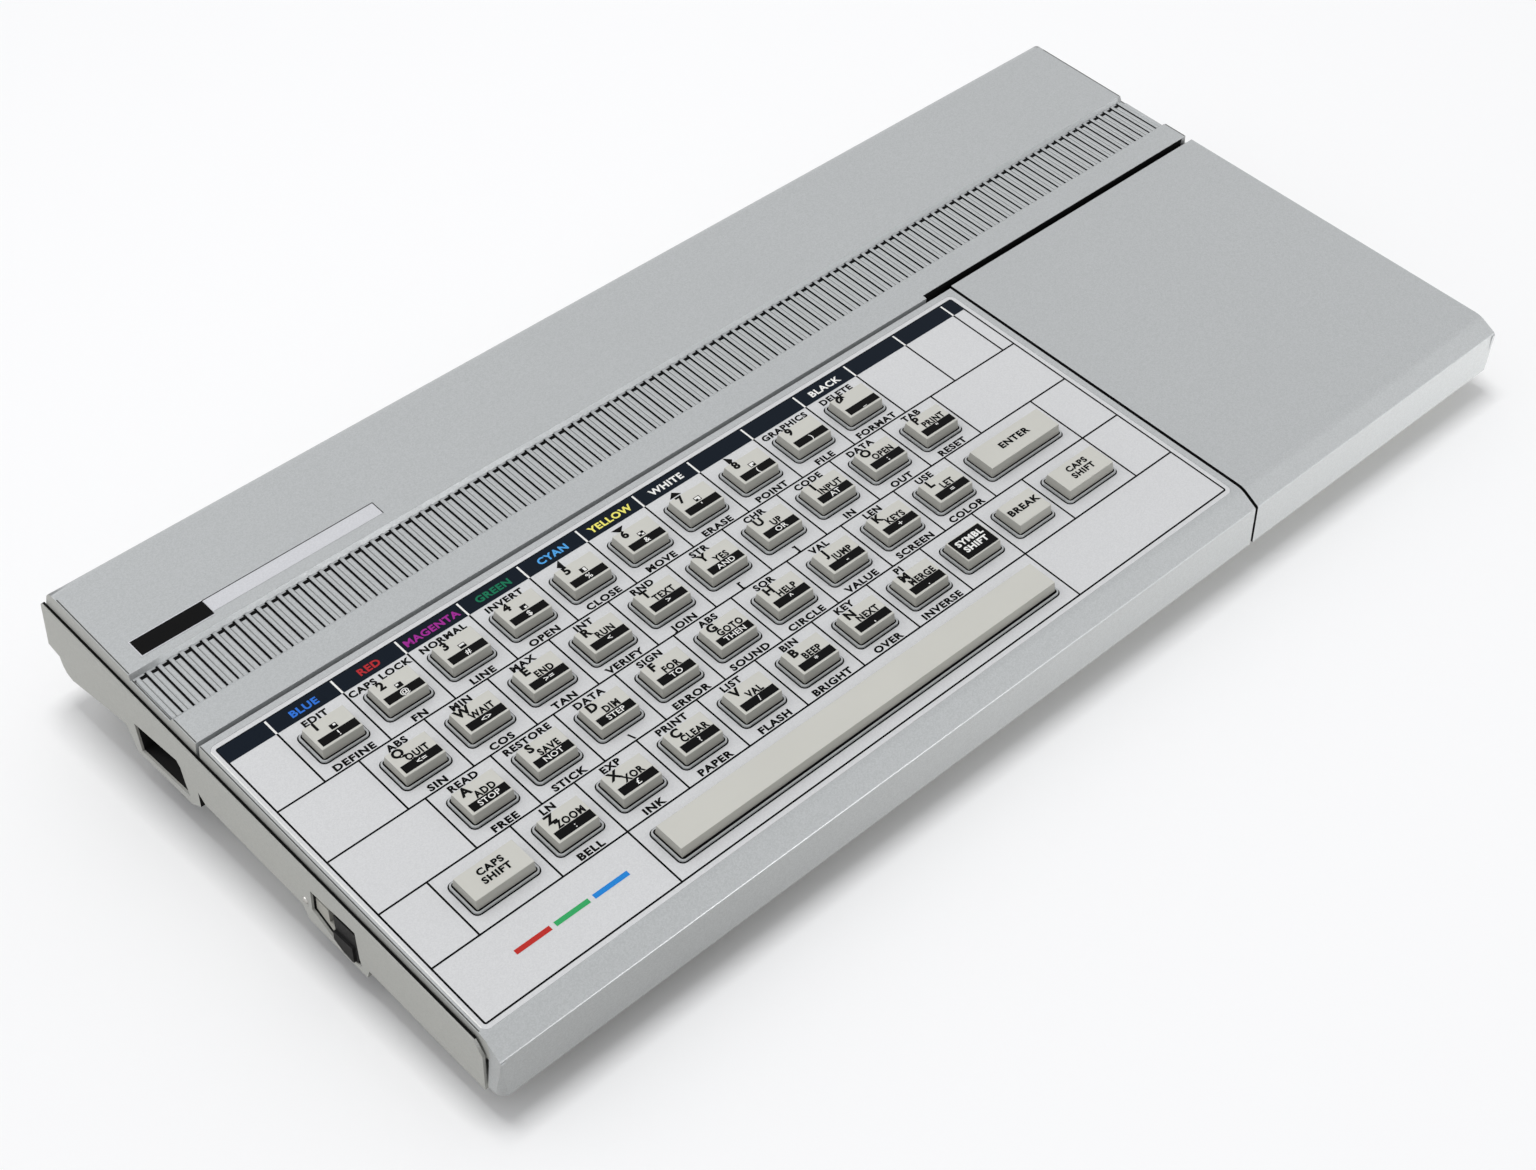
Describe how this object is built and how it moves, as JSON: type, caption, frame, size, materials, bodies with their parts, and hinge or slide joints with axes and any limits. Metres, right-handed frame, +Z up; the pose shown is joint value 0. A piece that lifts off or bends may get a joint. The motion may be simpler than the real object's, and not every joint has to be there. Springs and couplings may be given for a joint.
{
  "type": "vintage home computer",
  "caption": "Low silver-grey wedge-shaped home computer with moving keys, a flip-up cartridge door and side joystick ports.",
  "frame": {"origin": "middle of the case's footprint, on the surface that the rubber feet stand on", "axes": "+X to the right as the user sits, +Y to the rear, +Z up; the deck slopes 5.5 degrees up to the rear"},
  "size_m": [0.3618, 0.1825, 0.0408],
  "materials": {
    "silver_case_plastic": "silver-grey moulding with fine metallic flake, satin",
    "lower_case_plastic": "warm grey moulding, fine texture",
    "printed_overlay": "pearl silver printed sheet, satin",
    "key_plastic": "warm light grey moulded caps, satin",
    "black_plastic": "black moulding",
    "socket_plastic": "black socket bodies",
    "silicone_rubber": "moulded dome mat",
    "membrane_film": "clear film with printed tracks",
    "steel_plate": "rolled sheet",
    "circuit_board": "solder resist",
    "chip_package": "moulded packages with tinned legs",
    "tinned_steel": "tinned sheet",
    "screw_steel": "zinc plated",
    "foot_rubber": "soft black rubber"
  },
  "bodies": {
    "case": {"bottom_case": "lower_case_plastic", "top_case": "silver_case_plastic", "keyboard_bezel": "silver_case_plastic", "key_overlay": "printed_overlay", "cartridge_tray": "black_plastic", "cartridge_socket": "black_plastic", "dome_mat": "silicone_rubber", "key_membrane": "membrane_film", "keyboard_backplate": "steel_plate", "main_board": "circuit_board", "board_chips": "chip_package", "metal_shields": "tinned_steel", "side_connectors": "tinned_steel", "rear_sockets": "socket_plastic", "case_screws": "screw_steel", "rubber_feet": "foot_rubber"},
    "key_1": {"key_1": "key_plastic"},
    "key_2": {"key_2": "key_plastic"},
    "key_3": {"key_3": "key_plastic"},
    "key_4": {"key_4": "key_plastic"},
    "key_5": {"key_5": "key_plastic"},
    "key_6": {"key_6": "key_plastic"},
    "key_7": {"key_7": "key_plastic"},
    "key_8": {"key_8": "key_plastic"},
    "key_9": {"key_9": "key_plastic"},
    "key_0": {"key_0": "key_plastic"},
    "key_q": {"key_q": "key_plastic"},
    "key_w": {"key_w": "key_plastic"},
    "key_e": {"key_e": "key_plastic"},
    "key_r": {"key_r": "key_plastic"},
    "key_t": {"key_t": "key_plastic"},
    "key_y": {"key_y": "key_plastic"},
    "key_u": {"key_u": "key_plastic"},
    "key_i": {"key_i": "key_plastic"},
    "key_o": {"key_o": "key_plastic"},
    "key_p": {"key_p": "key_plastic"},
    "key_a": {"key_a": "key_plastic"},
    "key_s": {"key_s": "key_plastic"},
    "key_d": {"key_d": "key_plastic"},
    "key_f": {"key_f": "key_plastic"},
    "key_g": {"key_g": "key_plastic"},
    "key_h": {"key_h": "key_plastic"},
    "key_j": {"key_j": "key_plastic"},
    "key_k": {"key_k": "key_plastic"},
    "key_l": {"key_l": "key_plastic"},
    "key_enter": {"key_enter": "key_plastic"},
    "key_caps_left": {"key_caps_left": "key_plastic"},
    "key_z": {"key_z": "key_plastic"},
    "key_x": {"key_x": "key_plastic"},
    "key_c": {"key_c": "key_plastic"},
    "key_v": {"key_v": "key_plastic"},
    "key_b": {"key_b": "key_plastic"},
    "key_n": {"key_n": "key_plastic"},
    "key_m": {"key_m": "key_plastic"},
    "key_symbol_shift": {"key_symbol_shift": "key_plastic"},
    "key_break": {"key_break": "key_plastic"},
    "key_caps_right": {"key_caps_right": "key_plastic"},
    "key_space": {"key_space": "key_plastic"},
    "cartridge_door": {"cartridge_door": "silver_case_plastic"},
    "power_switch_knob": {"power_switch_knob": "black_plastic"}
  },
  "joints": [
    {"name": "key_1_press", "type": "slide", "parent": "case", "child": "key_1", "axis": [0, 0.0958, -0.9954], "range_m": [0, 0.0025], "stiffness_N_per_m": 250, "springref_m": -0.001},
    {"name": "key_2_press", "type": "slide", "parent": "case", "child": "key_2", "axis": [0, 0.0958, -0.9954], "range_m": [0, 0.0025], "stiffness_N_per_m": 250, "springref_m": -0.001},
    {"name": "key_3_press", "type": "slide", "parent": "case", "child": "key_3", "axis": [0, 0.0958, -0.9954], "range_m": [0, 0.0025], "stiffness_N_per_m": 250, "springref_m": -0.001},
    {"name": "key_4_press", "type": "slide", "parent": "case", "child": "key_4", "axis": [0, 0.0958, -0.9954], "range_m": [0, 0.0025], "stiffness_N_per_m": 250, "springref_m": -0.001},
    {"name": "key_5_press", "type": "slide", "parent": "case", "child": "key_5", "axis": [0, 0.0958, -0.9954], "range_m": [0, 0.0025], "stiffness_N_per_m": 250, "springref_m": -0.001},
    {"name": "key_6_press", "type": "slide", "parent": "case", "child": "key_6", "axis": [0, 0.0958, -0.9954], "range_m": [0, 0.0025], "stiffness_N_per_m": 250, "springref_m": -0.001},
    {"name": "key_7_press", "type": "slide", "parent": "case", "child": "key_7", "axis": [0, 0.0958, -0.9954], "range_m": [0, 0.0025], "stiffness_N_per_m": 250, "springref_m": -0.001},
    {"name": "key_8_press", "type": "slide", "parent": "case", "child": "key_8", "axis": [0, 0.0958, -0.9954], "range_m": [0, 0.0025], "stiffness_N_per_m": 250, "springref_m": -0.001},
    {"name": "key_9_press", "type": "slide", "parent": "case", "child": "key_9", "axis": [0, 0.0958, -0.9954], "range_m": [0, 0.0025], "stiffness_N_per_m": 250, "springref_m": -0.001},
    {"name": "key_0_press", "type": "slide", "parent": "case", "child": "key_0", "axis": [0, 0.0958, -0.9954], "range_m": [0, 0.0025], "stiffness_N_per_m": 250, "springref_m": -0.001},
    {"name": "key_q_press", "type": "slide", "parent": "case", "child": "key_q", "axis": [0, 0.0958, -0.9954], "range_m": [0, 0.0025], "stiffness_N_per_m": 250, "springref_m": -0.001},
    {"name": "key_w_press", "type": "slide", "parent": "case", "child": "key_w", "axis": [0, 0.0958, -0.9954], "range_m": [0, 0.0025], "stiffness_N_per_m": 250, "springref_m": -0.001},
    {"name": "key_e_press", "type": "slide", "parent": "case", "child": "key_e", "axis": [0, 0.0958, -0.9954], "range_m": [0, 0.0025], "stiffness_N_per_m": 250, "springref_m": -0.001},
    {"name": "key_r_press", "type": "slide", "parent": "case", "child": "key_r", "axis": [0, 0.0958, -0.9954], "range_m": [0, 0.0025], "stiffness_N_per_m": 250, "springref_m": -0.001},
    {"name": "key_t_press", "type": "slide", "parent": "case", "child": "key_t", "axis": [0, 0.0958, -0.9954], "range_m": [0, 0.0025], "stiffness_N_per_m": 250, "springref_m": -0.001},
    {"name": "key_y_press", "type": "slide", "parent": "case", "child": "key_y", "axis": [0, 0.0958, -0.9954], "range_m": [0, 0.0025], "stiffness_N_per_m": 250, "springref_m": -0.001},
    {"name": "key_u_press", "type": "slide", "parent": "case", "child": "key_u", "axis": [0, 0.0958, -0.9954], "range_m": [0, 0.0025], "stiffness_N_per_m": 250, "springref_m": -0.001},
    {"name": "key_i_press", "type": "slide", "parent": "case", "child": "key_i", "axis": [0, 0.0958, -0.9954], "range_m": [0, 0.0025], "stiffness_N_per_m": 250, "springref_m": -0.001},
    {"name": "key_o_press", "type": "slide", "parent": "case", "child": "key_o", "axis": [0, 0.0958, -0.9954], "range_m": [0, 0.0025], "stiffness_N_per_m": 250, "springref_m": -0.001},
    {"name": "key_p_press", "type": "slide", "parent": "case", "child": "key_p", "axis": [0, 0.0958, -0.9954], "range_m": [0, 0.0025], "stiffness_N_per_m": 250, "springref_m": -0.001},
    {"name": "key_a_press", "type": "slide", "parent": "case", "child": "key_a", "axis": [0, 0.0958, -0.9954], "range_m": [0, 0.0025], "stiffness_N_per_m": 250, "springref_m": -0.001},
    {"name": "key_s_press", "type": "slide", "parent": "case", "child": "key_s", "axis": [0, 0.0958, -0.9954], "range_m": [0, 0.0025], "stiffness_N_per_m": 250, "springref_m": -0.001},
    {"name": "key_d_press", "type": "slide", "parent": "case", "child": "key_d", "axis": [0, 0.0958, -0.9954], "range_m": [0, 0.0025], "stiffness_N_per_m": 250, "springref_m": -0.001},
    {"name": "key_f_press", "type": "slide", "parent": "case", "child": "key_f", "axis": [0, 0.0958, -0.9954], "range_m": [0, 0.0025], "stiffness_N_per_m": 250, "springref_m": -0.001},
    {"name": "key_g_press", "type": "slide", "parent": "case", "child": "key_g", "axis": [0, 0.0958, -0.9954], "range_m": [0, 0.0025], "stiffness_N_per_m": 250, "springref_m": -0.001},
    {"name": "key_h_press", "type": "slide", "parent": "case", "child": "key_h", "axis": [0, 0.0958, -0.9954], "range_m": [0, 0.0025], "stiffness_N_per_m": 250, "springref_m": -0.001},
    {"name": "key_j_press", "type": "slide", "parent": "case", "child": "key_j", "axis": [0, 0.0958, -0.9954], "range_m": [0, 0.0025], "stiffness_N_per_m": 250, "springref_m": -0.001},
    {"name": "key_k_press", "type": "slide", "parent": "case", "child": "key_k", "axis": [0, 0.0958, -0.9954], "range_m": [0, 0.0025], "stiffness_N_per_m": 250, "springref_m": -0.001},
    {"name": "key_l_press", "type": "slide", "parent": "case", "child": "key_l", "axis": [0, 0.0958, -0.9954], "range_m": [0, 0.0025], "stiffness_N_per_m": 250, "springref_m": -0.001},
    {"name": "key_enter_press", "type": "slide", "parent": "case", "child": "key_enter", "axis": [0, 0.0958, -0.9954], "range_m": [0, 0.0025], "stiffness_N_per_m": 250, "springref_m": -0.001},
    {"name": "key_caps_left_press", "type": "slide", "parent": "case", "child": "key_caps_left", "axis": [0, 0.0958, -0.9954], "range_m": [0, 0.0025], "stiffness_N_per_m": 250, "springref_m": -0.001},
    {"name": "key_z_press", "type": "slide", "parent": "case", "child": "key_z", "axis": [0, 0.0958, -0.9954], "range_m": [0, 0.0025], "stiffness_N_per_m": 250, "springref_m": -0.001},
    {"name": "key_x_press", "type": "slide", "parent": "case", "child": "key_x", "axis": [0, 0.0958, -0.9954], "range_m": [0, 0.0025], "stiffness_N_per_m": 250, "springref_m": -0.001},
    {"name": "key_c_press", "type": "slide", "parent": "case", "child": "key_c", "axis": [0, 0.0958, -0.9954], "range_m": [0, 0.0025], "stiffness_N_per_m": 250, "springref_m": -0.001},
    {"name": "key_v_press", "type": "slide", "parent": "case", "child": "key_v", "axis": [0, 0.0958, -0.9954], "range_m": [0, 0.0025], "stiffness_N_per_m": 250, "springref_m": -0.001},
    {"name": "key_b_press", "type": "slide", "parent": "case", "child": "key_b", "axis": [0, 0.0958, -0.9954], "range_m": [0, 0.0025], "stiffness_N_per_m": 250, "springref_m": -0.001},
    {"name": "key_n_press", "type": "slide", "parent": "case", "child": "key_n", "axis": [0, 0.0958, -0.9954], "range_m": [0, 0.0025], "stiffness_N_per_m": 250, "springref_m": -0.001},
    {"name": "key_m_press", "type": "slide", "parent": "case", "child": "key_m", "axis": [0, 0.0958, -0.9954], "range_m": [0, 0.0025], "stiffness_N_per_m": 250, "springref_m": -0.001},
    {"name": "key_symbol_shift_press", "type": "slide", "parent": "case", "child": "key_symbol_shift", "axis": [0, 0.0958, -0.9954], "range_m": [0, 0.0025], "stiffness_N_per_m": 250, "springref_m": -0.001},
    {"name": "key_break_press", "type": "slide", "parent": "case", "child": "key_break", "axis": [0, 0.0958, -0.9954], "range_m": [0, 0.0025], "stiffness_N_per_m": 250, "springref_m": -0.001},
    {"name": "key_caps_right_press", "type": "slide", "parent": "case", "child": "key_caps_right", "axis": [0, 0.0958, -0.9954], "range_m": [0, 0.0025], "stiffness_N_per_m": 250, "springref_m": -0.001},
    {"name": "key_space_press", "type": "slide", "parent": "case", "child": "key_space", "axis": [0, 0.0958, -0.9954], "range_m": [0, 0.0025], "stiffness_N_per_m": 250, "springref_m": -0.001},
    {"name": "door_lift", "type": "hinge", "parent": "case", "child": "cartridge_door", "pos_m": [0.125, 0.01816, 0.03046], "axis": [-1, 0, 0], "range_deg": [0, 100]},
    {"name": "power_slide", "type": "slide", "parent": "case", "child": "power_switch_knob", "axis": [0, 0.9954, 0.0958], "range_m": [0, 0.0045]}
  ]
}
